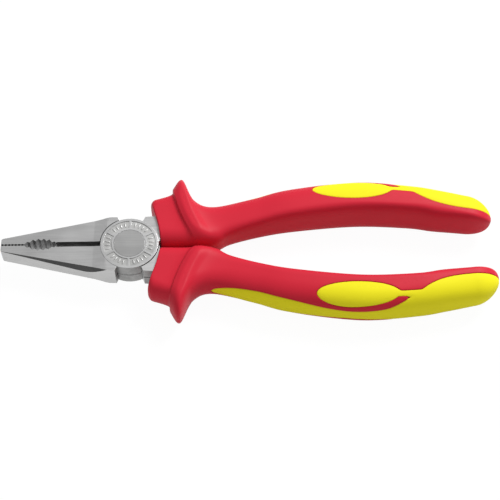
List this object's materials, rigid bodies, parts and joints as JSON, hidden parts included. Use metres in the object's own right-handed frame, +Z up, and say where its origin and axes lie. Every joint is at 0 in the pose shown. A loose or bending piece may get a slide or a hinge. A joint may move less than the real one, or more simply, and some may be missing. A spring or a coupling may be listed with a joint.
{
  "type": "insulated combination pliers",
  "caption": "Insulated combination pliers with serrated flat jaws, oval pipe grip, side cutters, riveted lap joint and two-colour guarded grips; the jaws open on a hinge.",
  "frame": {"origin": "middle of the bounding box, on the table plane the grips lie on", "axes": "+X along the tool toward the handle ends, +Y toward the handle that is upper in the picture, +Z up through the thickness"},
  "size_m": [0.18, 0.0574, 0.0164],
  "materials": {
    "steel": "satin plated forging with ground faces",
    "rivet_steel": "ground flush",
    "liner": "hard first shot, hidden",
    "grip_red": "satin moulded",
    "inlay_yellow": "soft satin moulded"
  },
  "bodies": {
    "rear_half": {"rear_lever": "steel", "pivot_rivet": "rivet_steel", "lower_liner": "liner", "lower_grip": "grip_red", "lower_inlay": "inlay_yellow"},
    "front_half": {"front_lever": "steel", "upper_liner": "liner", "upper_grip": "grip_red", "upper_inlay": "inlay_yellow"}
  },
  "joints": [
    {"name": "jaw_pivot", "type": "hinge", "parent": "rear_half", "child": "front_half", "pos_m": [-0.0435, 0, 0.0082], "axis": [0, 0, 1], "range_deg": [0, 45]}
  ]
}
